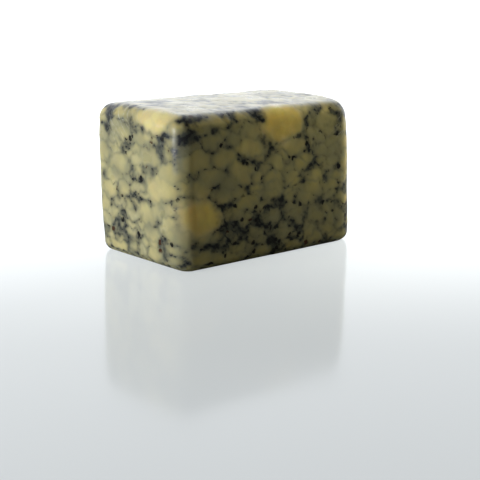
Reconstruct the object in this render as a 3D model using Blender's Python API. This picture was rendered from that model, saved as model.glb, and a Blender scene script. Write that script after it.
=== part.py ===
"""A cut length of loaf cheese, marbled right through: one solid block with soft, rounded edges.

The block is a near-square loaf section cut to length. It lies on its flat underside, its long side
along X. Each upright corner has its own radius, the top edges are rolled over, the sides belly out
a little under the cheese's own weight, and the top is crowned from front to back.

Metres, +Z up. The origin is under the middle of the block, on the surface that it lies on.
"""

import math

import bmesh
import bpy
from mathutils import Vector

# Driving dimensions of the plain block, before it settles
LENGTH = 0.1525         # along X, the loaf's own direction
DEPTH = 0.0953          # along Y, the loaf's width
HEIGHT = 0.100          # along Z, the loaf's height
TOP_RADIUS = 0.0095     # roll of the four top edges
BASE_RADIUS = 0.0060    # roll of the four edges that it lies on

# Radius of each upright corner, by the side of X and Y that it stands on
CORNER_RADIUS = {
    (-1, -1): 0.0096,
    (-1, 1): 0.0098,
    (1, -1): 0.0167,
    (1, 1): 0.0120,
}

# How the soft block has settled
LEAN = 0.0029           # the top stands this far towards -X of the base
BELLY = 0.0015          # the sides swell by this much at half height
END_BELLY = 0.0023      # and the +X end by this much more
FOOT_SHARE = 0.8        # how much of that swell is left at the foot of the sides
CROWN = 0.0019          # the middle of the top stands above its front and back edges
BACK_RISE = 0.0011      # the back top edge stands above the middle, the front one as much below
END_RISE = 0.0005       # the +X end of the top stands above the middle, the -X end below
WAVE = 0.00045          # slow unevenness of the faces
WAVE_LENGTH = (0.061, 0.047, 0.053)

# How finely the surface is cut
ARC_STEPS = 5           # steps over half of a rounded corner or edge
FLAT_STEPS = (11, 8, 8)  # steps along the flat stretch of X, Y and Z

# Finish
CHEESE_COLOUR = (0.46, 0.44, 0.27, 1.0)
CHEESE_ROUGHNESS = 0.38


def clear_scene():
    """Takes every object out of the scene."""
    for old in list(bpy.data.objects):
        bpy.data.objects.remove(old, do_unlink=True)


def arc_lines(edge, radius, towards):
    """Cuts from edge inwards over one radius, spaced so that they turn evenly round the arc."""
    angles = [math.pi / 4 * step / ARC_STEPS for step in range(ARC_STEPS)]
    return [edge - towards * radius * (1 - math.tan(angle)) for angle in angles]


def flat_lines(low, high, steps):
    """Even cuts over a flat stretch, both of its ends included."""
    return [low + (high - low) * step / steps for step in range(steps + 1)]


def cut_lines():
    """The cutting planes' places along X, Y and Z: close together round the edges, wide between."""
    lines = []
    for axis, size in enumerate((LENGTH, DEPTH)):
        ends = {}
        for side in (-1, 1):
            radii = [r for corner, r in CORNER_RADIUS.items() if corner[axis] == side]
            ends[side] = max(radii)
        half = size / 2
        low, high = -half + ends[-1], half - ends[1]
        around = arc_lines(-half, ends[-1], -1) + arc_lines(half, ends[1], 1)
        lines.append(around + flat_lines(low, high, FLAT_STEPS[axis]))
    upright = arc_lines(0, BASE_RADIUS, -1) + arc_lines(HEIGHT, TOP_RADIUS, 1)
    upright += flat_lines(BASE_RADIUS, HEIGHT - TOP_RADIUS, FLAT_STEPS[2])
    lines.append(upright)
    return lines


def gridded_block():
    """A cube of the block's size, standing on z = 0 and cut into a grid by planes."""
    mesh = bmesh.new()
    bmesh.ops.create_cube(mesh, size=1.0)
    bmesh.ops.scale(mesh, vec=Vector((LENGTH, DEPTH, HEIGHT)), verts=mesh.verts)
    bmesh.ops.translate(mesh, vec=Vector((0, 0, HEIGHT / 2)), verts=mesh.verts)
    for axis, places in enumerate(cut_lines()):
        normal = Vector([float(axis == other) for other in range(3)])
        for place in places:
            everything = mesh.verts[:] + mesh.edges[:] + mesh.faces[:]
            bmesh.ops.bisect_plane(
                mesh, geom=everything, plane_co=normal * place, plane_no=normal, dist=1e-6
            )
    return mesh


def bent_round(a, b):
    """Draws a corner offset (a, b) in, so that a square's rim becomes a quarter circle."""
    longest = max(abs(a), abs(b))
    if longest < 1e-9:
        return a, b
    share = longest / math.hypot(a, b)
    return a * share, b * share


def clamp(value, low, high):
    """The nearest value within low and high."""
    return max(low, min(high, value))


def rounded_point(point):
    """Sets a point of the gridded block on the rounded form.

    In plan, what lies beyond the core rectangle bends round the upright corner. Then what lies
    beyond the core upwards or downwards bends over the top or bottom edge in the same way.
    Returns the new point, its outward direction in plan, and how far out it is, from 0 to 1.
    """
    side_x = 1 if point.x > 0 else -1
    side_y = 1 if point.y > 0 else -1
    corner = CORNER_RADIUS[(side_x, side_y)]
    core_x = clamp(point.x, -(LENGTH / 2 - corner), LENGTH / 2 - corner)
    core_y = clamp(point.y, -(DEPTH / 2 - corner), DEPTH / 2 - corner)
    off_x, off_y = bent_round(point.x - core_x, point.y - core_y)
    reach = math.hypot(off_x, off_y)
    outward = Vector((off_x, off_y, 0)).normalized() if reach > 1e-9 else Vector()

    upper = point.z > HEIGHT / 2
    roll = TOP_RADIUS if upper else BASE_RADIUS
    past_side = max(reach - (corner - roll), 0)
    past_level = max(point.z - (HEIGHT - roll) if upper else roll - point.z, 0)
    new_side, new_level = bent_round(past_side, past_level)
    reach += new_side - past_side
    height = point.z
    if past_level > 0:
        height = HEIGHT - roll + new_level if upper else roll - new_level
    place = Vector((core_x, core_y, height)) + outward * reach
    return place, outward, reach / corner


def slow_wave(place):
    """A smooth unevenness between -1 and 1, from three crossing waves."""
    turns = [math.tau * value / length for value, length in zip(place, WAVE_LENGTH)]
    first = math.sin(turns[0] + 0.6 * turns[2])
    second = math.sin(turns[1] - 0.5 * turns[0] + 1.3)
    third = math.sin(turns[2] + 0.4 * turns[1] + 2.1)
    return (first + second + third) / 3


def swell_share(up_share):
    """The belly's share of its full swell: a parabola, full at half height and nothing at the top."""
    from_middle = 2 * up_share - 1
    loss = 1.0 if from_middle > 0 else 1 - FOOT_SHARE
    return 1 - loss * from_middle ** 2


def settled_point(point):
    """Adds the lean, the belly, the crowned top and the slow unevenness to a rounded point."""
    place, outward, out_share = rounded_point(point)
    up_share = place.z / HEIGHT
    along = 2 * place.x / LENGTH
    across = 2 * place.y / DEPTH
    wave = WAVE * slow_wave(place)

    swell = swell_share(up_share)
    settled = place + outward * out_share * (BELLY * swell + wave)
    settled.x += max(outward.x, 0) * out_share * END_BELLY * swell - LEAN * (up_share - 0.5)
    lift = CROWN * (1 - across ** 2) + BACK_RISE * across + END_RISE * along
    settled.z += up_share ** 3 * (lift + wave)
    return settled


def centre_over_origin(mesh):
    """Shifts the mesh sideways, so that the middle of its box stands over the origin."""
    for axis in (0, 1):
        values = [vert.co[axis] for vert in mesh.verts]
        middle = (min(values) + max(values)) / 2
        for vert in mesh.verts:
            vert.co[axis] -= middle


def cheese_material():
    """Pale cream cheese with a soft gloss."""
    material = bpy.data.materials.new("cheese")
    material.use_nodes = True
    shader = material.node_tree.nodes["Principled BSDF"]
    shader.inputs["Base Color"].default_value = CHEESE_COLOUR
    shader.inputs["Roughness"].default_value = CHEESE_ROUGHNESS
    shader.inputs["Metallic"].default_value = 0.0
    material.diffuse_color = CHEESE_COLOUR
    return material


def make_cheese_block(collection):
    """The one solid: a gridded block, each of its points set on the settled form."""
    grid = gridded_block()
    for vert in grid.verts:
        vert.co = settled_point(vert.co.copy())
    centre_over_origin(grid)
    bmesh.ops.recalc_face_normals(grid, faces=grid.faces)

    data = bpy.data.meshes.new("cheese_block")
    grid.to_mesh(data)
    grid.free()
    data.materials.append(cheese_material())
    data.shade_smooth()
    block = bpy.data.objects.new("cheese_block", data)
    collection.objects.link(block)
    return block


def main():
    clear_scene()
    collection = bpy.data.collections.new("marbled_cheese_block")
    bpy.context.scene.collection.children.link(collection)
    make_cheese_block(collection)


main()
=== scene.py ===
# %% [markdown]
# # A block of marbled cheese
#
# This lesson dresses one solid, a cut length of loaf cheese, so that it looks like the real thing.
# The plain solid comes from the frame. Around it we work out a finer surface by the same formula,
# find where each lump of curd lies in it, and let that one pattern drive the relief, the dark
# veins, the colours and the gloss.

import math

import bpy
import numpy as np
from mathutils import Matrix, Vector


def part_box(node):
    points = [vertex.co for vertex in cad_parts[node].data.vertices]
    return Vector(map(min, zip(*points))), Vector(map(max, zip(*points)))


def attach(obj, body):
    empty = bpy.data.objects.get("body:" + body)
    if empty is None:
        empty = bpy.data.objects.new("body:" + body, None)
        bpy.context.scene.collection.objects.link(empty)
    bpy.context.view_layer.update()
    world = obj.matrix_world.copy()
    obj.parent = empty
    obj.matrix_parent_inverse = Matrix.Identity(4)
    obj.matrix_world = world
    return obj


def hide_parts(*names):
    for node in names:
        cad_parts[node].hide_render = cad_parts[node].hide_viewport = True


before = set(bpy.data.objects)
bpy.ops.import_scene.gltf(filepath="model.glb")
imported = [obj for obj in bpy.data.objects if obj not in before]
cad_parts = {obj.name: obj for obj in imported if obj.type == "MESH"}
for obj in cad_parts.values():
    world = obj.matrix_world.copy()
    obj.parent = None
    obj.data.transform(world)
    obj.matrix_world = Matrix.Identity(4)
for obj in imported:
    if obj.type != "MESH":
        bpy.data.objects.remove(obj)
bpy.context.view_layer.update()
BOX_LOW, BOX_HIGH = (np.array(corner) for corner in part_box("cheese_block"))
MM = 0.001
print("the solid measures", np.round((BOX_HIGH - BOX_LOW) / MM, 1), "mm")

# %% [markdown]
# ## The camera
#
# The block is seen from a little above its top, past its upright edge nearest to us, with a fairly
# long lens. The camera stands on the side of the -X end and of the long -Y side. Its place could be
# found by eye, but here it was worked out from the way the block's edges run together.

# %% Set up the camera
CAMERA_PLACE = Vector((-0.4642, -0.5533, 0.1708))
CAMERA_YAW = math.radians(40.58)        # turn of the view away from +Y, towards +X
CAMERA_PITCH = math.radians(13.11)      # downward tilt of the view
SENSOR_WIDTH = 36.0
FOCAL_PIXELS = 1050.0
IMAGE_PIXELS = 480


def view_direction(yaw, pitch):
    """The unit vector that looks yaw away from +Y towards +X, and pitch below level."""
    level = math.cos(pitch)
    return Vector((math.sin(yaw) * level, math.cos(yaw) * level, -math.sin(pitch)))


camera_data = bpy.data.cameras.new("view_camera")
camera_data.sensor_width = SENSOR_WIDTH
camera_data.lens = SENSOR_WIDTH * FOCAL_PIXELS / IMAGE_PIXELS
camera_data.clip_start = 0.01
camera = bpy.data.objects.new("view_camera", camera_data)
camera.location = CAMERA_PLACE
camera.rotation_mode = "QUATERNION"
camera.rotation_quaternion = view_direction(CAMERA_YAW, CAMERA_PITCH).to_track_quat("-Z", "Y")
bpy.context.scene.collection.objects.link(camera)
bpy.context.scene.camera = camera
print("lens of", round(camera_data.lens, 1), "mm")

# %% [markdown]
# ## Node helpers
#
# Every finish below is a small network of shader nodes. A few helpers keep the networks short: they
# add a node and set its values, do arithmetic on numbers and vectors, go from one value to another
# by a curve or a straight line, mix two colours, and give cloudy noise.

# %% Helpers for shader nodes
NOISE_RANGE = (0.3, 0.7)        # most of a noise's values lie between these


def new_material(name):
    """A material with an empty Principled shader: (material, node tree, shader)."""
    material = bpy.data.materials.new(name)
    material.use_nodes = True
    tree = material.node_tree
    return material, tree, tree.nodes["Principled BSDF"]


def connect(tree, value, socket):
    """Joins an output to the socket, or sets the socket to a plain value."""
    if isinstance(value, bpy.types.NodeSocket):
        tree.links.new(value, socket)
    else:
        socket.default_value = value


def add_node(tree, kind, inputs=None, **settings):
    """A node of that kind, with its settings, and its inputs set or joined by name."""
    node = tree.nodes.new(kind)
    for name, value in settings.items():
        setattr(node, name, value)
    for name, value in (inputs or {}).items():
        connect(tree, value, node.inputs[name])
    return node


def maths(tree, operation, first, second=0.0, third=0.0):
    """The result of one Math node."""
    node = add_node(tree, "ShaderNodeMath", operation=operation)
    for socket, value in zip(node.inputs, (first, second, third)):
        connect(tree, value, socket)
    return node.outputs[0]


def vector_maths(tree, operation, first, second):
    """The result of one Vector Math node: a number for a dot product, else a vector."""
    node = add_node(tree, "ShaderNodeVectorMath", operation=operation)
    for socket, value in zip(node.inputs, (first, second)):
        connect(tree, value, socket)
    return node.outputs["Value" if operation == "DOT_PRODUCT" else "Vector"]


def ramped(tree, value, low, high, at_low=0.0, at_high=1.0):
    """Eases from at_low to at_high as value goes from low to high."""
    node = add_node(tree, "ShaderNodeMapRange", interpolation_type="SMOOTHSTEP")
    for name, given in zip(
        ("Value", "From Min", "From Max", "To Min", "To Max"), (value, low, high, at_low, at_high)
    ):
        connect(tree, given, node.inputs[name])
    return node.outputs["Result"]


def graded(tree, value, at_zero, at_one):
    """The straight line through at_zero and at_one, as value goes from 0 to 1."""
    return maths(tree, "MULTIPLY_ADD", value, at_one - at_zero, at_zero)


def blended(tree, share, first, second):
    """Mixes two colours: share 0 gives the first, share 1 the second."""
    node = add_node(tree, "ShaderNodeMix", data_type="RGBA")
    connect(tree, share, node.inputs["Factor"])
    for name, colour in (("A", first), ("B", second)):
        socket = next(s for s in node.inputs if s.name == name and s.type == "RGBA")
        connect(tree, colour, socket)
    return next(s for s in node.outputs if s.type == "RGBA")


def noise(tree, place, scale, detail=2.0, roughness=0.5):
    """A cloudy value near 0.5, with blotches of about 1 / scale metres."""
    values = {"Vector": place, "Scale": scale, "Detail": detail, "Roughness": roughness}
    return add_node(tree, "ShaderNodeTexNoise", values).outputs["Fac"]


def object_place(tree):
    """The surface point in the piece's own metres."""
    return tree.nodes.new("ShaderNodeTexCoord").outputs["Object"]


def seen_by_eye(tree):
    """1 where the camera looks straight at the surface, 0 for all other light."""
    return tree.nodes.new("ShaderNodeLightPath").outputs["Is Camera Ray"]


# %% [markdown]
# ## The floor
#
# The block lies on a pale, slightly glossy table that fades to white behind it. A lamp aimed at the
# table could wash it with light, but it would light the cheese as well. So the far floor is given a
# glow that only the eye sees: it looks bright and lights nothing.

# %% Lay the floor
FLOOR_SIZE = 400.0
FLOOR_COLOUR = (0.31, 0.325, 0.325, 1.0)
FLOOR_CLOUDS = 9.0              # blotches of roughness per metre
FLOOR_ROUGHNESS = (0.10, 0.14)
FLOOR_SPECULAR = 0.12
GLOW_COLOUR = (0.93, 0.98, 1.0, 1.0)
GLOW_REACH = (-0.24, 0.16)      # the stretch, in metres beyond the block, over which it brightens
GLOW = (0.42, 0.82)             # how bright it is before and after that stretch


def make_floor():
    """One large square at z = 0, washed with light beyond the block."""
    corners = FLOOR_SIZE / 2 * np.array([(-1, -1, 0), (1, -1, 0), (1, 1, 0), (-1, 1, 0)])
    data = bpy.data.meshes.new("floor")
    data.from_pydata(corners.tolist(), [], [(0, 1, 2, 3)])
    material, tree, shader = new_material("pale_table")
    shader.inputs["Base Color"].default_value = FLOOR_COLOUR
    shader.inputs["Specular IOR Level"].default_value = FLOOR_SPECULAR
    shader.inputs["Emission Color"].default_value = GLOW_COLOUR
    here = object_place(tree)
    roughness = ramped(tree, noise(tree, here, FLOOR_CLOUDS), *NOISE_RANGE, *FLOOR_ROUGHNESS)
    connect(tree, roughness, shader.inputs["Roughness"])
    beyond = vector_maths(tree, "DOT_PRODUCT", here, view_direction(CAMERA_YAW, 0.0))
    glow = maths(tree, "MULTIPLY", ramped(tree, beyond, *GLOW_REACH, *GLOW), seen_by_eye(tree))
    connect(tree, glow, shader.inputs["Emission Strength"])
    data.materials.append(material)
    floor = bpy.data.objects.new("floor", data)
    bpy.context.scene.collection.objects.link(floor)


make_floor()
print("the floor is", FLOOR_SIZE, "m wide")

# %% [markdown]
# ## The light
#
# Cheese shows best with the light behind it: the top shines, the near sides fall into shade, and
# some light comes through the rolled edges. So a wide softbox hangs above and behind, one at the
# left lights the end face, and a narrow one low down beyond the far end brings out its rim. A small
# one is mirrored in the damp edge nearest to us, and a faint warm lamp softens the shade high on
# the front. A picture of a studio could light it too, but with lamps we can tell which one does
# what. The room is white on the far side and dim on the near side.

# %% Hang the lights
FILL_BEAM = math.radians(90)


def softbox(name, place, aim, size, watts, colour, mirrored=False):
    """A rectangular area light at place, facing aim; glossy things show it if it is mirrored."""
    data = bpy.data.lights.new(name, "AREA")
    data.shape = "RECTANGLE"
    data.size, data.size_y = size
    data.energy = watts
    data.color = colour
    light = bpy.data.objects.new(name, data)
    light.location = place
    light.rotation_mode = "QUATERNION"
    light.rotation_quaternion = (Vector(aim) - Vector(place)).to_track_quat("-Z", "Y")
    light.visible_glossy = mirrored
    bpy.context.scene.collection.objects.link(light)
    return light


softbox(
    "back_softbox", place=(0.24, 0.26, 0.95), aim=(0.06, 0.08, 0.0), size=(1.1, 0.8),
    watts=2.3, colour=(0.98, 0.99, 1.0),
)
softbox(
    "rim_softbox", place=(0.80, -0.03, 0.14), aim=(0.06, -0.03, 0.05), size=(0.10, 0.30),
    watts=3.3, colour=(1.0, 0.96, 0.84),
)
softbox(
    "left_softbox", place=(-0.78, 0.41, 0.24), aim=(-0.03, 0.0, 0.045), size=(0.45, 0.45),
    watts=1.42, colour=(0.97, 0.98, 1.0),
)
softbox(
    "edge_strip", place=(-0.80, 0.14, 0.16), aim=(-0.07, -0.04, 0.07), size=(0.20, 0.20),
    watts=3.2, colour=(0.97, 0.98, 1.0), mirrored=True,
)
fill = softbox(
    "warm_fill", place=(0.16, -0.19, 0.24), aim=(0.05, -0.045, 0.09), size=(0.22, 0.10),
    watts=0.056, colour=(1.0, 0.90, 0.56),
)
fill.data.spread = FILL_BEAM
print(len(bpy.data.lights), "lights")

# %% Paint the room
ROOM_FAR = 1.64             # brightness of the room behind the block
ROOM_NEAR = 0.012           # and on the camera's side
BRIGHTENS = (0.25, 0.95)    # where one turns into the other, as cosines from the view's direction
FAR_COLOUR = (0.96, 0.985, 1.02, 1.0)
NEAR_COLOUR = (1.0, 0.80, 0.55, 1.0)
COOLS = (-0.2, 0.3)         # and where the near colour turns into the far one


def paint_room():
    """Plain and pale to the eye, but its light comes bright from the far side and dim from here."""
    world = bpy.data.worlds.new("studio_room")
    bpy.context.scene.world = world
    world.use_nodes = True
    tree = world.node_tree
    tree.nodes.clear()
    direction = tree.nodes.new("ShaderNodeTexCoord").outputs["Generated"]
    facing = vector_maths(tree, "DOT_PRODUCT", direction, view_direction(CAMERA_YAW, 0.0))
    strength = ramped(tree, facing, *BRIGHTENS, ROOM_NEAR, ROOM_FAR)
    tinge = blended(tree, ramped(tree, facing, *COOLS), NEAR_COLOUR, FAR_COLOUR)
    room = add_node(tree, "ShaderNodeBackground", {"Color": tinge, "Strength": strength})
    plain = add_node(tree, "ShaderNodeBackground", {"Strength": 1.0})
    choice = tree.nodes.new("ShaderNodeMixShader")
    for socket, value in zip(choice.inputs, (seen_by_eye(tree), room.outputs[0], plain.outputs[0])):
        connect(tree, value, socket)
    add_node(tree, "ShaderNodeOutputWorld", {"Surface": choice.outputs[0]})


paint_room()
bpy.context.scene.view_settings.view_transform = "Standard"
print("the room's far side is", round(ROOM_FAR / ROOM_NEAR), "times as bright as its near side")

# %% [markdown]
# ## The block's form
#
# The solid is a box with rolled edges that has settled a little: it leans, its sides belly out and
# its top is crowned. The same formula, on a grid of about a millimetre, gives the fine surface. It
# could be a subdivided copy of the solid, but a formula also knows which way is outward at every
# point, and has no facets. The grid is a box's skin: every grid point has three whole numbers, so
# points that two faces share are found exactly, and the seams are closed.

# %% Sizes of the form, as in the solid
LENGTH, DEPTH, HEIGHT = 0.1525, 0.0953, 0.100
TOP_RADIUS, BASE_RADIUS = 0.0095, 0.0060        # roll of the top and bottom edges
CORNER_RADIUS = {(-1, -1): 0.0096, (-1, 1): 0.0098, (1, -1): 0.0167, (1, 1): 0.0120}
LEAN = 0.0029           # the top stands this far towards -X of the base
BELLY = 0.0015          # the sides swell by this much at half height
END_BELLY = 0.0023      # and the +X end by this much more
FOOT_SHARE = 0.8        # how much of that swell is left at the foot
CROWN = 0.0019          # the middle of the top stands above its front and back edges
BACK_RISE, END_RISE = 0.0011, 0.0005            # and its back edge and +X end above the middle
WAVE = 0.00045          # slow unevenness of the faces
WAVE_LENGTH = (0.061, 0.047, 0.053)
ARC_STEPS = 10          # grid steps over half of a rounded edge
FLAT_STEP = 0.88 * MM   # grid step over the flat stretches


def widest_corner(axis, side):
    """The larger radius of the two upright corners on one side of X or Y."""
    return max(radius for corner, radius in CORNER_RADIUS.items() if corner[axis] == side)


def axis_lines(low, high, low_radius, high_radius):
    """Grid lines along one axis: turning evenly round both edges, and even in between."""
    turn = np.tan(np.linspace(0, math.pi / 4, ARC_STEPS + 1))
    first = low + low_radius * (1 - turn[::-1])
    last = high - high_radius * (1 - turn)
    steps = int(round((last[0] - first[-1]) / FLAT_STEP))
    return np.concatenate([first, np.linspace(first[-1], last[0], steps + 1)[1:-1], last])


LINES = (
    axis_lines(-LENGTH / 2, LENGTH / 2, widest_corner(0, -1), widest_corner(0, 1)),
    axis_lines(-DEPTH / 2, DEPTH / 2, widest_corner(1, -1), widest_corner(1, 1)),
    axis_lines(0.0, HEIGHT, BASE_RADIUS, TOP_RADIUS),
)
print("grid of", [len(line) for line in LINES], "lines")

# %% Wrap a grid round the box
def box_skin(lines):
    """The skin of a grid box: whole-number points (n, 3) and its quads (m, 4), facing outwards.

    Each of the six faces is a grid of two parameters. A face's point gets its place in the whole
    box as three numbers, and equal points of neighbouring faces become one.
    """
    counts = np.array([len(line) for line in lines])
    points, quads, offset = [], [], 0
    for axis in range(3):
        first, second = (axis + 1) % 3, (axis + 2) % 3
        a, b = np.meshgrid(np.arange(counts[first]), np.arange(counts[second]), indexing="ij")
        order = np.arange(a.size).reshape(a.shape)
        ring = (order[:-1, :-1], order[1:, :-1], order[1:, 1:], order[:-1, 1:])
        for level in (0, counts[axis] - 1):
            face = np.empty((a.size, 3), int)
            face[:, axis] = level
            face[:, first], face[:, second] = a.ravel(), b.ravel()
            quad = np.stack([corner.ravel() for corner in ring], axis=1)
            quads.append((quad if level else quad[:, ::-1]) + offset)
            points.append(face)
            offset += len(face)
    grid, where = np.unique(np.concatenate(points), axis=0, return_inverse=True)
    return grid, where.ravel()[np.concatenate(quads)]


GRID, QUADS = box_skin(LINES)
FLAT_BOX = np.stack([LINES[axis][GRID[:, axis]] for axis in range(3)], axis=1)
print(len(GRID), "points,", 2 * len(QUADS), "triangles")

# %% Roll the edges over
TINY = 1e-12            # keeps a division by a length of nothing harmless


def corner_radius(side_x, side_y):
    """Radius of the upright corner on each point's side of X and Y."""
    near = np.where(side_y < 0, CORNER_RADIUS[(-1, -1)], CORNER_RADIUS[(-1, 1)])
    far = np.where(side_y < 0, CORNER_RADIUS[(1, -1)], CORNER_RADIUS[(1, 1)])
    return np.where(side_x < 0, near, far)


def bent_round(a, b):
    """Draws corner offsets (a, b) in by max(|a|, |b|) / length, so a square rim becomes an arc."""
    longest = np.maximum(np.abs(a), np.abs(b))
    share = longest / np.maximum(np.hypot(a, b), TINY)
    return a * share, b * share


def rounded_form(box):
    """Points of the flat box set on the rounded form: place, outward normal, share of the way out.

    In plan, what lies beyond the core rectangle bends round the upright corner. Then what lies
    beyond the core upwards or downwards bends over the top or bottom edge in the same way.
    """
    x, y, z = box.T
    corner = corner_radius(x, y)
    core_x = np.clip(x, corner - LENGTH / 2, LENGTH / 2 - corner)
    core_y = np.clip(y, corner - DEPTH / 2, DEPTH / 2 - corner)
    off_x, off_y = bent_round(x - core_x, y - core_y)
    reach = np.hypot(off_x, off_y)
    safe = np.maximum(reach, TINY)
    out_x, out_y = off_x / safe, off_y / safe

    upper = z > HEIGHT / 2
    roll = np.where(upper, TOP_RADIUS, BASE_RADIUS)
    past_side = np.maximum(reach - (corner - roll), 0)
    past_level = np.maximum(np.where(upper, z - (HEIGHT - roll), roll - z), 0)
    side, level = bent_round(past_side, past_level)
    reach = reach + side - past_side
    sign = np.where(upper, 1.0, -1.0)
    height = np.where(past_level > 0, np.where(upper, HEIGHT - roll, roll) + sign * level, z)

    place = np.stack([core_x + out_x * reach, core_y + out_y * reach, height], axis=1)
    normal = np.stack([out_x * side, out_y * side, sign * level], axis=1)
    normal /= np.maximum(np.linalg.norm(normal, axis=1, keepdims=True), TINY)
    outward = np.stack([out_x, out_y, np.zeros_like(out_x)], axis=1)
    return place, normal, outward * (reach / corner)[:, None]


def slow_wave(place):
    """A smooth unevenness between -1 and 1: the mean of the sines of three slanting waves."""
    turns = math.tau * place / np.array(WAVE_LENGTH)
    first = np.sin(turns[:, 0] + 0.6 * turns[:, 2])
    second = np.sin(turns[:, 1] - 0.5 * turns[:, 0] + 1.3)
    third = np.sin(turns[:, 2] + 0.4 * turns[:, 1] + 2.1)
    return (first + second + third) / 3


def settled_form(place, outward):
    """Adds the slow wave, and the belly, the lean and the crowned top as polynomials of place."""
    up_share = place[:, 2] / HEIGHT
    from_middle = 2 * up_share - 1
    loss = np.where(from_middle > 0, 1.0, 1 - FOOT_SHARE)
    swell = 1 - loss * from_middle ** 2
    wave = WAVE * slow_wave(place)
    along, across = 2 * place[:, 0] / LENGTH, 2 * place[:, 1] / DEPTH
    settled = place + outward * (BELLY * swell + wave)[:, None]
    settled[:, 0] += np.maximum(outward[:, 0], 0) * END_BELLY * swell - LEAN * (up_share - 0.5)
    lift = CROWN * (1 - across ** 2) + BACK_RISE * across + END_RISE * along
    settled[:, 2] += up_share ** 3 * (lift + wave)
    return settled


place, NORMAL, outward = rounded_form(FLAT_BOX)
FORM = settled_form(place, outward)
FORM[:, :2] += (BOX_LOW + BOX_HIGH)[:2] / 2 - (FORM.min(0) + FORM.max(0))[:2] / 2
print("form against solid, mm:", np.round((FORM.max(0) - BOX_HIGH) / MM, 2))

# %% [markdown]
# ## Packed curds
#
# Marbled cheese is pressed from lumps of curd, each wrapped in dark flecked paste. Cut anywhere, it
# shows rounded pale cells between blurred dark veins. A Voronoi texture could draw the cells, but
# it has no large and small ones. Here each curd is a ball with a centre and a radius of its own,
# flattened by the press, and a point belongs to the ball whose skin it is deepest in. How much
# deeper it is in the first ball than in the second tells how far the vein is. Crumbs of curd fill
# the gaps. A few large curds are ellipsoids, listed one by one for the two near sides, and more are
# strewn over the others. They are firmer than the rest, so they keep more of their shape.

# %% Place the curds
CURD_SPACING = np.array([14.2, 14.2, 7.6]) * MM
CURD_STRAY = 0.45       # how far curds stray from even spacing, as a share of it
FACE_STRAY = 0.4        # how much of that is left, in depth, for the curds that a face cuts through
CURD_RADIUS = 6.4 * MM
CURD_SPREAD = 0.24      # how unequal the radii are
PRESSED = 1.85          # how many times wider than high the curds are
CRUMBS = 5200           # small bits of curd in the gaps between the curds
CRUMB_RADIUS = (0.9 * MM, 2.6 * MM)
SHELL = 16.0 * MM       # how deep below the surface curds are needed
UNDER_SKIN = 2.0 * MM   # the strewn large curds lie this deep, and crumbs up to this far outside

# Curds that are easily told apart: centre and half sizes in mm, and how warm their colour is, from
# 0 for pale through 1 for yellow to 2 for amber
SHOWN_CURDS = (
    ((-77, -21, 97), (9, 17, 8), 1.1),
    ((-79, -26, 52), (7, 12, 7), 0.30),
    ((7, -46, 92), (15.5, 9, 14), 2.0),
    ((-66, -48, 34), (14, 8, 9), 2.0),
    ((-22, -49, 75), (10, 6, 5), 0.40),
    ((-32, -49, 60), (9, 6, 6), 0.35),
    ((-46, -49, 71), (9, 6, 5), 0.25),
    ((-65, -49, 70), (10, 6, 6), 0.25),
    ((50, -49, 74), (7, 6, 4), 0.25),
    ((-65, -49, 53), (8, 6, 5), 0.25),
    ((12, -49, 73), (9, 6, 5), 0.25),
    ((-79, 13, 83), (6, 8.5, 3.6), 0.05),
    ((-79, -9, 82), (6, 9.5, 3.8), 0.05),
    ((-79, -1, 75), (5, 4.5, 3.2), 0.05),
    ((-79, -14, 71), (6, 8.5, 4.2), 0.10),
    ((-79, 38, 70), (6, 8.5, 4.6), 0.10),
    ((-79, 18, 63), (6, 9.5, 5.6), 0.10),
    ((-79, -36, 63), (6, 11, 4.4), 0.10),
    ((-79, 31, 45), (6, 9, 4.2), 0.20),
    ((-79, 14, 47), (6, 6, 4.4), 0.15),
    ((-79, 37, 35), (6, 6, 5.4), 0.15),
    ((-79, -11, 33), (6, 9.5, 5.4), 0.15),
)
STREWN_LARGE = 16               # large curds strewn over the back, the far end and the top
STREWN_HALVES = (6, 12)         # their half sizes in mm
STREWN_WARMTH = (0.0, 0.6)
SET_BY_HAND = (-50 * MM, -25 * MM)      # none of them is strewn below this X or this Y
random = np.random.default_rng(20)


def strewn_large_curds():
    """Large curds just under the far sides: centres, half sizes and warmth."""
    centres = random.uniform(BOX_LOW, BOX_HIGH, (STREWN_LARGE * 4, 3))
    side = random.integers(0, 3, len(centres))
    for axis in range(3):
        centres[side == axis, axis] = BOX_HIGH[axis] - UNDER_SKIN
    centres = centres[(centres[:, :2] >= SET_BY_HAND).all(axis=1)][:STREWN_LARGE]
    halves = random.uniform(*STREWN_HALVES, (len(centres), 3)) * MM
    return centres, halves, random.uniform(*STREWN_WARMTH, len(centres))


def large_curds():
    """All the large curds: centres (n, 3), half sizes (n, 3) and warmth (n)."""
    centres, halves, warmth = (np.array(column) for column in zip(*SHOWN_CURDS))
    shown = (centres * MM, halves * MM, warmth)
    return tuple(np.concatenate(pair) for pair in zip(shown, strewn_large_curds()))


def ellipsoid_depth(points, centres, halves):
    """Signed distance to each ellipsoid's skin, about (|q| - 1) times its mean half size."""
    offset = (points[:, None, :] - centres[None]) / halves[None]
    return (np.linalg.norm(offset, axis=2) - 1) * halves.mean(axis=1)


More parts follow.
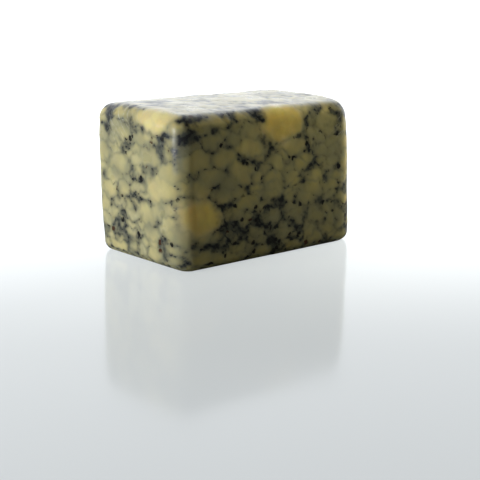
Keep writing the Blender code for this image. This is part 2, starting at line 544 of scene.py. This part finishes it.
def small_curds(centres, halves):
    """Balls on a jittered grid, and crumbs anywhere, near the skin and outside the large curds.

    The grid has a layer on each face, and that layer strays less in depth than sideways, so that
    most of its curds are cut near their middles.
    """
    counts = np.round((BOX_HIGH - BOX_LOW) / CURD_SPACING).astype(int)
    pitch = (BOX_HIGH - BOX_LOW) / counts
    steps = [BOX_LOW[axis] + pitch[axis] * np.arange(-1, counts[axis] + 2) for axis in range(3)]
    grid = np.stack(np.meshgrid(*steps, indexing="ij"), axis=-1).reshape(-1, 3)
    stray = random.uniform(-CURD_STRAY, CURD_STRAY, grid.shape) * pitch
    on_face = (np.abs(grid - BOX_LOW) < 0.1 * MM) | (np.abs(grid - BOX_HIGH) < 0.1 * MM)
    grid = grid + np.where(on_face, FACE_STRAY * stray, stray)
    radii = CURD_RADIUS * np.exp(random.normal(0, CURD_SPREAD, len(grid)))

    crumbs = random.uniform(BOX_LOW - UNDER_SKIN, BOX_HIGH + UNDER_SKIN, (CRUMBS, 3))
    grid = np.concatenate([grid, crumbs])
    radii = np.concatenate([radii, random.uniform(*CRUMB_RADIUS, CRUMBS)])
    near = np.minimum(grid - BOX_LOW, BOX_HIGH - grid).min(axis=1) < SHELL
    grid, radii = grid[near], radii[near]
    tint = random.uniform(0, 1, len(grid))
    clear = (ellipsoid_depth(grid, centres, halves) > 0.4 * radii[:, None]).all(axis=1)
    return grid[clear], radii[clear], tint[clear]


LARGE_CENTRES, LARGE_HALVES, LARGE_WARMTH = large_curds()
CENTRES, RADII, TINTS = small_curds(LARGE_CENTRES, LARGE_HALVES)
print(len(CENTRES), "small curds and", len(LARGE_CENTRES), "large ones")

# %% Find each point's nearest curds
BLOCK = 20 * MM         # the points are taken in blocks of this size
REACH = 20 * MM         # with the curds this far round each block
LARGE_LEAD = 3.0 * MM   # how much deeper the firmest curds count than they are
FIRM = (3 * MM, 11 * MM)        # mean half sizes between which curds get firmer
WOBBLES = ((21, 1.5, 30), (7, 1.15, 40))        # wavelength and push in mm, and first seed


def drift(points, wavelength, seed, waves=8):
    """A smooth field of about -1 to 1: a sum of plane waves in random directions and phases.

    Their wavelengths lie round the given one, from 1 / 1.5 to 1 / 0.6 of it.
    """
    draw = np.random.default_rng(seed)
    direction = draw.normal(size=(waves, 3))
    direction /= np.linalg.norm(direction, axis=1, keepdims=True)
    rate = math.tau / wavelength * draw.uniform(0.6, 1.5, (waves, 1))
    phase = draw.uniform(0, math.tau, waves)
    return np.sin(points @ (direction * rate).T + phase).sum(axis=1) / math.sqrt(waves / 2) / 1.6


def eased(values, low, high):
    """A smooth step from 0 at low to 1 at high (3 t^2 - 2 t^3)."""
    t = np.clip((values - low) / (high - low), 0, 1)
    return t * t * (3 - 2 * t)


def wobbled(points):
    """The points pushed about by slow waves, so that the cells' sides aren't straight."""
    moved = points
    for wavelength, push, seed in WOBBLES:
        waves = [drift(points, wavelength * MM, seed + axis) for axis in range(3)]
        moved = moved + np.stack(waves, axis=1) * push * MM
    return moved


def nearest_curds(points):
    """The three nearest curds of each point: depths (n, 3) and curd numbers (n, 3).

    A curd's depth is the distance to its centre, with heights stretched to undo the pressing, less
    its radius. Curd numbers run over the small curds first, then the large ones.
    """
    lead = LARGE_LEAD * eased(LARGE_HALVES.mean(axis=1), *FIRM)
    large_numbers = len(CENTRES) + np.arange(len(LARGE_CENTRES))
    depth = np.empty((len(points), 3))
    number = np.empty((len(points), 3), int)
    cells, member = np.unique(np.floor(points / BLOCK).astype(int), axis=0, return_inverse=True)
    member = member.ravel()
    for order, cell in enumerate(cells):
        inside = np.flatnonzero(member == order)
        low, high = cell * BLOCK - REACH, (cell + 1) * BLOCK + REACH
        close = np.flatnonzero(((CENTRES > low) & (CENTRES < high)).all(axis=1))
        offset = points[inside][:, None, :] - CENTRES[close][None]
        balls = np.linalg.norm(offset * (1, 1, PRESSED), axis=2) - RADII[close]
        lumps = ellipsoid_depth(points[inside], LARGE_CENTRES, LARGE_HALVES) - lead
        every = np.concatenate([balls, lumps], axis=1)
        three = np.argsort(every, axis=1)[:, :3]
        depth[inside] = np.take_along_axis(every, three, axis=1)
        number[inside] = np.concatenate([close, large_numbers])[three]
    return depth, number


DEPTH_NEAR, CURD_NUMBER = nearest_curds(wobbled(FORM))
GAP = DEPTH_NEAR[:, 1] - DEPTH_NEAR[:, 0]               # nothing on the seam between two curds
THIRD_GAP = DEPTH_NEAR[:, 2] - DEPTH_NEAR[:, 0]         # nothing where three curds meet
print("vein gap, mm: median", round(float(np.median(GAP)) / MM, 2))

# %% [markdown]
# ## Paste between the curds
#
# The dark flecked paste fills the pockets where several curds meet, and runs in broken lines along
# the seams between two of them. Some seams have closed up, and some places hold more paste than
# others, up to heaps that cover the curds. So each pair of curds gets an openness of its own, and
# slow waves tell where paste has gathered. Elsewhere curd and paste have been worked together into
# grey murk, or a thin veil of cheese lies over the pattern. Pale cheese lets light through, so
# paste under the skin shows as a blurred grey haze. It could be found by looking below the surface;
# here the paste is simply spread over the surface, which gives the same soft edges.
# On the near side, which lies in shade, more paste and more murk are painted shade, and a few wide
# dark spots low on it paint it darker towards the bottom.

# %% List the places that stand out
# Places where the dark paste has gathered: centre and radius in mm, and how much more there is, or
# less where the number is negative
DARK_SPOTS = (
    ((-68, -46, 96), 6, 1.6),
    ((-72, -48, 85), 5, 0.9),
    ((-60, -49, 88), 7, 0.15),
    ((-77, 26, 95), 8, 1.0),
    ((-79, 29, 87), 5, 0.7),
    ((-79, -31, 86), 4, 0.8),
    ((-79, 16, 83), 4, 0.6),
    ((-78, -41, 77), 5, 0.6),
    ((-79, 5, 60), 5, 0.8),
    ((-79, -3, 54), 4, 0.8),
    ((-79, 2, 44), 5, 0.5),
    ((-79, 33, 54), 6, 0.6),
    ((-79, 34, 30), 5, 0.2),
    ((58, -48, 85), 6, 1.1),
    ((35, -49, 86), 5, 1.0),
    ((-12, -45, 96), 5, 1.4),
    ((10, -30, 103), 9, 0.7),
    ((-45, 10, 103), 10, 0.7),
    ((35, 15, 103), 9, 0.6),
    ((-30, -47, 91), 4, 1.0),
    ((-67, -49, 62), 7, 0.5),
    ((-52, -49, 44), 9, 0.6),
    # These two wide spots low on the near side are painted shade, darker towards the bottom
    ((-42, -49, 30), 16, 0.55),
    ((0, -49, 20), 22, 0.65),
    ((-30, -49, 66), 7, 0.8),
    ((-55, -49, 62), 6, 0.6),
    ((-2, -49, 62), 7, 0.4),
    ((48, -49, 84), 6, 0.7),
    # Painted shade low on the near side as well
    ((-50, -49, 14), 18, 0.35),
    ((-79, 2, 34), 20, 0.35),
    ((-76, 46, 58), 16, -0.7),
)
# Places where curd and paste have been worked together into grey: the same three
MURKY_SPOTS = (
    ((-48, -48, 82), 15, 0.4),
    ((44, -48, 70), 15, 0.8),
    # This wide one low on the near side is painted shade, greying it towards the bottom
    ((0, -48, 22), 28, 1.0),
    ((-79, 24, 86), 13, 0.8),
    ((-79, 2, 86), 14, 0.85),
    ((-79, -29, 87), 5, 0.9),
    ((-79, 24, 58), 6, 0.7),
)
# Places where the sides are as moist as the top: centre and radius in mm, and how moist
WET_SPOTS = (
    ((-76, -44, 84), 13, 1.0),
    ((-56, -44, 99), 13, 1.0),
    ((-76, -12, 100), 13, 0.6),
    ((-77, 30, 92), 12, 0.8),
    ((66, -47, 88), 9, 0.5),
)
# Places where scratches in the skin get pale streaks of painted sheen: the same three
SCRATCH_SHEEN_SPOTS = (
    ((-78, 18, 92), 11, 1.0),
    ((-76, -8, 99), 8, 0.7),
    ((60, -49, 84), 8, 0.8),
)
print(len(DARK_SPOTS), "dark,", len(MURKY_SPOTS), "murky,", len(WET_SPOTS), "wet places")

# %% Helpers for fields on the surface
def slow(wavelength, seed):
    """The smooth field of that wavelength in mm, at the block's own points."""
    return drift(FORM, wavelength * MM, seed)


def bell(distance, width):
    """Falls off from 1 as exp(-(distance / width)^2)."""
    return np.exp(-(distance / width) ** 2)


def spotted(spots):
    """The sum of the spots' strengths at each point, each falling off as a bell."""
    total = np.zeros(len(FORM))
    for centre, radius, strength in spots:
        away = np.linalg.norm(FORM - np.array(centre) * MM, axis=1)
        total += strength * bell(away, radius * MM)
    return total


def seam_openness(first, second):
    """A number from 0 to 1 for each pair of curds, the same in both orders.

    It is the fraction of a large multiple of a sine, so it jumps about from pair to pair.
    """
    low, high = np.minimum(first, second), np.maximum(first, second)
    mixed = np.sin(low * 12.9898 + high * 78.233) * 43758.5453
    return mixed - np.floor(mixed)


def diffused(values, spread):
    """The field blurred over the surface, by averaging each point with its neighbours many times.

    One round mixes half of a point's value with half of its neighbours' mean, which widens the blur
    by a quarter of a squared grid step; spread is the standard deviation in metres.
    """
    here, there = QUADS.ravel(), np.roll(QUADS, -1, axis=1).ravel()
    total = np.bincount(here)
    for _ in range(int(round(4 * (spread / FLAT_STEP) ** 2))):
        around = np.bincount(here, weights=values[there]) / total
        values = 0.5 * values + 0.5 * around
    return values


# %% Tell faces, edges and curds apart
OWN_SKIN = 0.5 * MM     # a curd's own skin ends this far outside its ball, where no other is near

# The near long side lies in shade: more paste, more murk and a creamier tint on it are painted
# shade, darker and yellower
SHADED_FRONT = eased(-FORM[:, 1], 25 * MM, 45 * MM)            # 1 on the long side nearest to us
# On the top, less paste, a paler tint, less warmth and evened curds below are a painted sheen
SHEEN_TOP = eased(NORMAL[:, 2], 0.88, 0.995)                  # 1 on the top
ROLLED = eased(1 - np.abs(NORMAL).max(axis=1), 0.0, 0.12)
# Rolled edges facing the lights: less murk, a creamier tint and more warmth there are a painted
# glow
GLOWING_EDGE = ROLLED * eased(NORMAL[:, [0, 2]].max(axis=1), 0.1, 0.4)      # 1 on translucent edges
ROOM = np.minimum(0.5 * GAP, OWN_SKIN - DEPTH_NEAR[:, 0])           # depth inside the own curd
OPEN = seam_openness(CURD_NUMBER[:, 0], CURD_NUMBER[:, 1])
print("own curd's depth, mm:", np.round(np.percentile(ROOM, (5, 50, 95)) / MM, 1))

# %% Gather the paste
# How much paste a place holds, from none to 1.5
PASTE = 0.46 + 0.18 * slow(36, 51) + 0.16 * slow(13, 52)
# The near side's extra paste and the wide dark spots low on it are painted shade
PASTE = np.clip(PASTE + 0.12 * SHADED_FRONT + spotted(DARK_SPOTS), 0, 1.5)

# The front gets more murk, darker and greyer, as painted shade; the rolled edges facing the
# lights get less, a painted glow
MURK_AND_SHADE = eased(0.45 * slow(42, 56) + spotted(MURKY_SPOTS), 0.0, 1.1)
MURK_AND_SHADE = 1 - (1 - MURK_AND_SHADE) * (1 - SHADED_FRONT * (0.6 + 0.3 * slow(26, 59)))
MURK_AND_SHADE *= 1 - 0.6 * GLOWING_EDGE

# How plainly the seams show, and how much the veil hides
SEAM = eased(slow(13, 55) + 1.2 * (OPEN - 0.5), -0.8, 0.8)
VEIL = 0.5 * eased(0.5 * slow(30, 58) + 0.9 * SHADED_FRONT, 0.1, 1.1)
print("paste:", round(float(PASTE.mean()), 2), "on average, murk:", round(float(MURK_AND_SHADE.mean()), 2))

# %% Draw lines, pockets and heaps of paste
LINE_WIDTH = 1.1 * MM       # reach of a line of paste to either side of its seam
MEETING_WIDTH = 1.5 * MM    # reach of the paste round a point where three curds meet
HAZE_BLUR = 1.2 * MM        # how far paste just under the skin is blurred
CLOUD_BLUR = 3.6 * MM       # and paste that lies deeper

broken = eased(slow(4.5, 53) + 0.9 * (OPEN - 0.5), -0.1, 0.85)
line = 0.85 * bell(GAP, LINE_WIDTH) * eased(OPEN, 0.15, 0.55) * broken * (1 - 0.6 * VEIL)
pocket = eased(-ROOM, -0.6 * MM, 0.8 * MM) * eased(slow(4.5, 54), -0.5, 0.8)
meeting = bell(THIRD_GAP, MEETING_WIDTH) * eased(slow(6, 60), -0.5, 0.4)
pocket = np.maximum(pocket, meeting)
heap = eased(PASTE + 0.4 * slow(4, 57), 1.1, 1.9)
DARK = line * (0.45 + 0.7 * PASTE) + pocket * (0.25 + 0.75 * PASTE)
# Heaps darken a little less on the near side, and the top's paste is thinned as a painted sheen
DARK = np.clip(DARK + (0.45 - 0.12 * SHADED_FRONT) * heap, 0, 1) * (1 - 0.18 * SHEEN_TOP)
HAZE = diffused(DARK, HAZE_BLUR)
CLOUD = diffused(DARK, CLOUD_BLUR)
SEAM = diffused(SEAM, HAZE_BLUR)
print("paste: dark", round(float(DARK.mean()), 3), "haze to", round(float(HAZE.max()), 2))

# %% [markdown]
# ## Colours of the single curds
#
# No two curds are quite alike: most are pale, some are creamier, and two are amber, where colour or
# fat has gathered. One noise for the whole block could vary them, but it would run across the
# seams. So each curd carries its own values, blurred a little where curds touch. The same cell
# tells where the skin is damp and where the curds' middles are, which the finish needs too.

# %% Share the curds' colours
SMALL_WARM_FROM = 0.8       # small curds with a tint above this are a little warm as well
SMALL_WARMTH = 0.30         # and this is how warm the warmest are
LARGE_TINT = 0.8
LOOKS_LARGE = (4 * MM, 10 * MM)     # mean half sizes between which curds come to look large


def curd_colours():
    """Each curd's tint, warmth and largeness: the small ones vary a little, the large are set."""
    tint = np.concatenate([TINTS, np.full(len(LARGE_CENTRES), LARGE_TINT)])
    slight = np.maximum(TINTS - SMALL_WARM_FROM, 0) / (1 - SMALL_WARM_FROM)
    warmth = np.concatenate([SMALL_WARMTH * slight, LARGE_WARMTH])
    large = eased(LARGE_HALVES.mean(axis=1), *LOOKS_LARGE)
    return tint, warmth, np.concatenate([np.zeros(len(TINTS)), large])


tint, warmth, largeness = (values[CURD_NUMBER[:, 0]] for values in curd_colours())
# Each curd's own tint, made creamier on the near side as painted warm shade, creamier on the edges
# facing the lights as a painted glow, and paler on the top as a painted sheen
TINT = 0.18 + 0.34 * diffused(tint, 1.6 * MM) + 0.5 * SHADED_FRONT + 0.4 * GLOWING_EDGE
TINT = np.clip(TINT, 0, 1) * (1 - 0.7 * SHEEN_TOP)
LARGENESS = diffused(largeness, 2.2 * MM)

# Each curd's own warmth, less on the top as a painted sheen; the rolled edges facing the lights
# get a painted warm glow for the light that comes through them, most of all at the far end
WARM = diffused(warmth, 3.8 * MM) * (1 - 0.5 * SHEEN_TOP)
WARM = np.maximum(WARM, (0.45 + 0.30 * eased(NORMAL[:, 0], 0.1, 0.5)) * GLOWING_EDGE)

# The top is damp, in some places more than in others
WET = eased(NORMAL[:, 2], 0.80, 0.99) * (0.98 + 0.24 * slow(12, 62))
WET = np.clip(WET + spotted(WET_SPOTS), 0, 1)
# Scratches in the skin, painted pale where they catch the light: a painted sheen
SCRATCH_SHEEN = np.clip(spotted(SCRATCH_SHEEN_SPOTS), 0, 1)

# Curds are cleanest in their middles; a veil or a large curd evens that out, and on the bright
# top a painted sheen evens it out
INSIDE = eased(ROOM, -0.9 * MM, 3.6 * MM)
INSIDE += np.maximum(VEIL, 0.7 * LARGENESS) * (diffused(INSIDE, 1.8 * MM) - INSIDE)
INSIDE += 0.5 * SHEEN_TOP * (0.7 - INSIDE)
print("warm:", round(float((WARM > 0.5).mean()), 3), "of the skin")

# %% [markdown]
# ## Relief
#
# A pressed cheese isn't glassy: each curd stands a hair prouder than the seams round it, and the
# rolled edges are slightly wavy. A shader could fake all of it, but then the outline would stay
# smooth, so the larger part is in the surface. The relief is a tenth of a millimetre or two, along
# the normal, and fades out on the underside, which lies flat.

# %% Raise the curds
CURD_RELIEF = 0.14 * MM
RIPPLE = 0.10 * MM


def relief():
    """Height along the normal: curds domed over their seams, plus a slow ripple."""
    dome = eased(ROOM, -0.5 * MM, 2.5 * MM)
    height = CURD_RELIEF * (dome - 0.6) + RIPPLE * slow(11, 61)
    off_base = np.clip(FORM[:, 2] / BASE_RADIUS, 0, 1)
    return height * off_base ** 2


RAISED = relief()
SURFACE = FORM + NORMAL * RAISED[:, None]
print("relief, mm:", np.round(np.percentile(RAISED, (1, 99)) / MM, 3))

# %% Make the mesh
def mesh_object(name, points, quads, fields):
    """A mesh object at the origin from arrays, with each field as a value on its points."""
    data = bpy.data.meshes.new(name)
    data.vertices.add(len(points))
    data.vertices.foreach_set("co", points.astype(np.float32).ravel())
    data.loops.add(quads.size)
    data.loops.foreach_set("vertex_index", quads.astype(np.int32).ravel())
    data.polygons.add(len(quads))
    data.polygons.foreach_set("loop_start", np.arange(0, quads.size, 4, dtype=np.int32))
    data.update(calc_edges=True)
    data.shade_smooth()
    for field, values in fields.items():
        attribute = data.attributes.new(field, "FLOAT", "POINT")
        attribute.data.foreach_set("value", values.astype(np.float32))
    made = bpy.data.objects.new(name, data)
    bpy.context.scene.collection.objects.link(made)
    return made


FIELDS = {
    "room_mm": ROOM / MM,
    "inside": INSIDE,
    # dark, murk, tint and warm also carry painted light: shade on the near side, a glow on the
    # rolled edges facing the lights, a sheen on the top
    "dark": DARK,
    "haze": HAZE,
    "cloud": CLOUD,
    "seam": SEAM,
    "murk_and_shade": MURK_AND_SHADE,
    "tint": TINT,
    "warm": WARM,
    "large": LARGENESS,
    "wet": WET,
    "scratch_sheen": SCRATCH_SHEEN,
}
cheese = mesh_object("marbled_cheese", SURFACE, QUADS, FIELDS)
print("closed:", len(SURFACE) - len(cheese.data.edges) + len(cheese.data.polygons) == 2)

# %% [markdown]
# ## The finish
#
# The colours go on in the order in which the cheese is built: pale, creamy or amber curd, the
# greyer cheese between the curds, the blue-grey haze of paste below the skin, the paste itself,
# then flecks and a few pale streaks of painted sheen on scratches. Painted shade makes the near
# side darker and yellower, a painted glow warms the rolled edges facing the lights, and a painted
# sheen makes the top paler and plainer. A painted picture could carry all this, but it would blur
# close up and end at its rims; here fine noise makes every edge ragged, at any distance. Light
# goes a few millimetres into cheese, so part of the shader is subsurface scattering, deeper in the
# fatty yellow curds. The skin has a soft gloss, and the damp top a thin wet coat.

# %% Colours of the cheese
PALE_CURD = (0.67, 0.64, 0.395, 1.0)
CREAM_CURD = (0.66, 0.58, 0.205, 1.0)
WARM_CURD = (0.98, 0.84, 0.40, 1.0)
AMBER_CURD = (1.0, 0.80, 0.25, 1.0)
BETWEEN = (0.33, 0.327, 0.21, 1.0)
SLATE = (0.076, 0.085, 0.077, 1.0)
PASTE_BLACK = (0.012, 0.015, 0.021, 1.0)
# Pale colour of the painted sheen on scratches
SCRATCH_SHEEN_COLOUR = (0.80, 0.81, 0.72, 1.0)
FLECK_BLACK = (0.010, 0.009, 0.010, 1.0)
FLECK_BROWN = (0.075, 0.027, 0.012, 1.0)


def field(tree, name):
    """A value that the mesh carries on its points."""
    return add_node(tree, "ShaderNodeAttribute", attribute_name=name).outputs["Fac"]


def centred_noise(tree, place, scale, detail, roughness):
    """Noise with its middle at 0, to push an edge to and fro."""
    return maths(tree, "SUBTRACT", noise(tree, place, scale, detail, roughness), 0.5)


# %% Colour the curds
SEAM_SHADE = (0.38, 1.03)       # how grey a curd gets at its rim: closed seams and open ones
MURK_SHADE = (-0.85, -0.25)     # how much of its colour murk takes: small curds and large ones
MOTTLE = (0.8, 1.05)


def curd_colour(tree, here, ragged):
    """Pale or warm curd, greyer at its rim, where worked into paste, and in front as painted shade.
    """
    warm = field(tree, "warm")
    curd = blended(tree, field(tree, "tint"), PALE_CURD, CREAM_CURD)
    curd = blended(tree, maths(tree, "MINIMUM", warm, 1.0), curd, WARM_CURD)
    curd = blended(tree, ramped(tree, warm, 1.0, 2.0), curd, AMBER_CURD)

    inside = maths(tree, "MULTIPLY_ADD", ragged, 0.2, field(tree, "inside"))
    shade = graded(tree, field(tree, "seam"), *SEAM_SHADE)
    kept = maths(tree, "MULTIPLY_ADD", maths(tree, "SUBTRACT", inside, 1.0), shade, 1.0)
    taken = graded(tree, field(tree, "large"), *MURK_SHADE)
    # Murk greys the curd; on the near side that grey is painted shade
    clean = maths(tree, "MULTIPLY_ADD", field(tree, "murk_and_shade"), taken, 1.0)
    mottle = ramped(tree, noise(tree, here, 110.0, 3.0), *NOISE_RANGE, *MOTTLE)
    kept = maths(tree, "MULTIPLY", maths(tree, "MULTIPLY", kept, clean), mottle)
    return blended(tree, kept, BETWEEN, curd)


# %% Lay the paste over them
CLOUD_SHARE, HAZE_SHARE, DARK_SHARE = 1.1, 1.2, 0.40    # what each adds to the grey below the skin
GREY_RANGE = (0.02, 1.25)       # sums of them at which the grey begins and is full
PASTE_RANGE = (0.58, 0.96)      # and darkness at which the paste itself does
MOST_GREY, MOST_BLACK = 0.95, 0.9


def with_paste(tree, here, ragged, colour):
    """The blue-grey haze of paste below the skin, then the crumbled paste in the skin."""
    dark = field(tree, "dark")
    deep = maths(tree, "MULTIPLY", field(tree, "haze"), HAZE_SHARE)
    deep = maths(tree, "MULTIPLY_ADD", field(tree, "cloud"), CLOUD_SHARE, deep)
    deep = maths(tree, "MULTIPLY_ADD", dark, DARK_SHARE, deep)
    deep = maths(tree, "MULTIPLY_ADD", ragged, maths(tree, "MULTIPLY", deep, 1.3), deep)
    colour = blended(tree, ramped(tree, deep, *GREY_RANGE, 0.0, MOST_GREY), colour, SLATE)

    crumbled = centred_noise(tree, here, 330.0, 5.0, 0.7)
    paste = maths(tree, "MULTIPLY_ADD", crumbled, 1.7, dark)
    paste = ramped(tree, paste, *PASTE_RANGE, 0.0, MOST_BLACK)
    return blended(tree, paste, colour, PASTE_BLACK)


# %% Strew flecks and streaks of painted sheen
FLECK_CELLS = 170.0         # cells per metre, each with room for one fleck
EMPTY_CELLS = 0.38          # share of the cells that have none
FLECK_SIZE = 0.30           # flecks reach from 0.35 to 1.35 times this, in cells
BROWN_FROM = (0.78, 0.86)   # flecks turn brown as their random number passes between these
ALONG_STREAK = (30.0, 85.0, 85.0)           # turns of the noise per metre, along the streaks
ACROSS_STREAK = (400.0, 640.0, -640.0)      # and across them
SCRATCH_SHEEN_STRENGTH = 0.55


def shifted_place(tree, place, scale, amount):
    """The place pushed about by noise, so that what is drawn there is ragged."""
    cloud = add_node(tree, "ShaderNodeTexNoise", {"Vector": place, "Scale": scale, "Detail": 2.0})
    centred = vector_maths(tree, "SUBTRACT", cloud.outputs["Color"], (0.5, 0.5, 0.5))
    push = vector_maths(tree, "MULTIPLY", centred, (amount, amount, amount))
    return vector_maths(tree, "ADD", place, push)


def flecks(tree, place):
    """Ragged specks: (mask, random value of the speck). A speck fills part of a Voronoi cell."""
    ragged_place = shifted_place(tree, place, 420.0, 3.4 * MM)
    cells = add_node(tree, "ShaderNodeTexVoronoi", {"Vector": ragged_place, "Scale": FLECK_CELLS})
    lots = add_node(tree, "ShaderNodeSeparateColor", {"Color": cells.outputs["Color"]}).outputs
    filled = maths(tree, "GREATER_THAN", lots[0], EMPTY_CELLS)
    reach = maths(tree, "MULTIPLY_ADD", lots[1], FLECK_SIZE, FLECK_SIZE * 0.35)
    mask = ramped(tree, maths(tree, "SUBTRACT", reach, cells.outputs["Distance"]), 0.0, 0.06)
    return maths(tree, "MULTIPLY", mask, filled), lots[2]


def streaks(tree, place):
    """A mask of thin slanting streaks: noise drawn out along one direction."""
    along = vector_maths(tree, "DOT_PRODUCT", place, ALONG_STREAK)
    across = vector_maths(tree, "DOT_PRODUCT", place, ACROSS_STREAK)
    drawn_out = add_node(tree, "ShaderNodeCombineXYZ", {"X": along, "Y": across})
    return ramped(tree, noise(tree, drawn_out.outputs[0], 1.0, 3.0), 0.52, 0.66)


def with_flecks(tree, here, colour):
    """Flecks by the dark seams, then streaks of painted sheen: (colour, mask of the flecks)."""
    near_seam = ramped(tree, field(tree, "room_mm"), 0.2, 2.0, 1.0, 0.0)
    by_paste = ramped(tree, field(tree, "haze"), 0.05, 0.22)
    specks, lot = flecks(tree, here)
    specks = maths(tree, "MULTIPLY", specks, maths(tree, "MULTIPLY", near_seam, by_paste))
    fleck = blended(tree, ramped(tree, lot, *BROWN_FROM), FLECK_BLACK, FLECK_BROWN)
    colour = blended(tree, specks, colour, fleck)
    # Pale streaks of painted sheen where the skin is scratched
    sheen_streak = maths(tree, "MULTIPLY", streaks(tree, here), field(tree, "scratch_sheen"))
    sheen_streak = maths(tree, "MULTIPLY", sheen_streak, SCRATCH_SHEEN_STRENGTH)
    return blended(tree, sheen_streak, colour, SCRATCH_SHEEN_COLOUR), specks


# %% Give it a damp, translucent skin
ROUGHNESS = (0.26, 0.42)
PASTE_ROUGHENS = 0.12           # added where paste lies
CHEESE_IOR = 1.45
SPECULAR = (0.25, 0.50)         # dry skin and damp skin
WET_COAT = (0.0, 0.80)          # weight of the coat there
WET_COAT_ROUGHNESS = 0.40
LIGHT_REACH = (1.0, 0.75, 0.4)  # how far red, green and blue go in, against each other
LIT_THROUGH = (0.45, 0.85)      # share of the light that goes in, pale curd and yellow curd
LIT_DEPTH = (2.2 * MM, 9.2 * MM)
BUMP_DEPTH, BUMP_STRENGTH = 0.12 * MM, 0.6


def skin(tree, here, shader, specks):
    """Gloss, wetness, translucency and fine bumps."""
    gloss = ramped(tree, noise(tree, here, 90.0, 3.0), *NOISE_RANGE, *ROUGHNESS)
    wet = field(tree, "wet")
    yellow = maths(tree, "MINIMUM", field(tree, "warm"), 1.0)
    height = maths(
        tree, "MULTIPLY_ADD", noise(tree, here, 1500.0, 3.0), 0.25, noise(tree, here, 260.0, 3.0)
    )
    height = maths(tree, "MULTIPLY_ADD", specks, 0.3, height)
    bump = add_node(
        tree,
        "ShaderNodeBump",
        {"Height": height, "Distance": BUMP_DEPTH, "Strength": BUMP_STRENGTH},
    )
    values = {
        "Roughness": maths(tree, "MULTIPLY_ADD", field(tree, "haze"), PASTE_ROUGHENS, gloss),
        "IOR": CHEESE_IOR,
        "Specular IOR Level": graded(tree, wet, *SPECULAR),
        "Coat Weight": graded(tree, wet, *WET_COAT),
        "Coat Roughness": WET_COAT_ROUGHNESS,
        "Subsurface Radius": LIGHT_REACH,
        "Subsurface Weight": graded(tree, yellow, *LIT_THROUGH),
        "Subsurface Scale": graded(tree, yellow, *LIT_DEPTH),
        "Normal": bump.outputs["Normal"],
    }
    for name, value in values.items():
        connect(tree, value, shader.inputs[name])


# %% Put the finish together
def cheese_material():
    """The whole finish of the block."""
    material, tree, shader = new_material("marbled_cheese")
    here = object_place(tree)
    ragged = centred_noise(tree, here, 520.0, 4.0, 0.6)
    colour = curd_colour(tree, here, ragged)
    colour = with_paste(tree, here, ragged, colour)
    colour, specks = with_flecks(tree, here, colour)
    connect(tree, colour, shader.inputs["Base Color"])
    skin(tree, here, shader, specks)
    return material


cheese.data.materials.append(cheese_material())
print(len(cheese.active_material.node_tree.nodes), "shader nodes")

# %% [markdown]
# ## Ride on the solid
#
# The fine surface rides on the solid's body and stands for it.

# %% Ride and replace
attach(cheese, "root")
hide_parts("cheese_block")
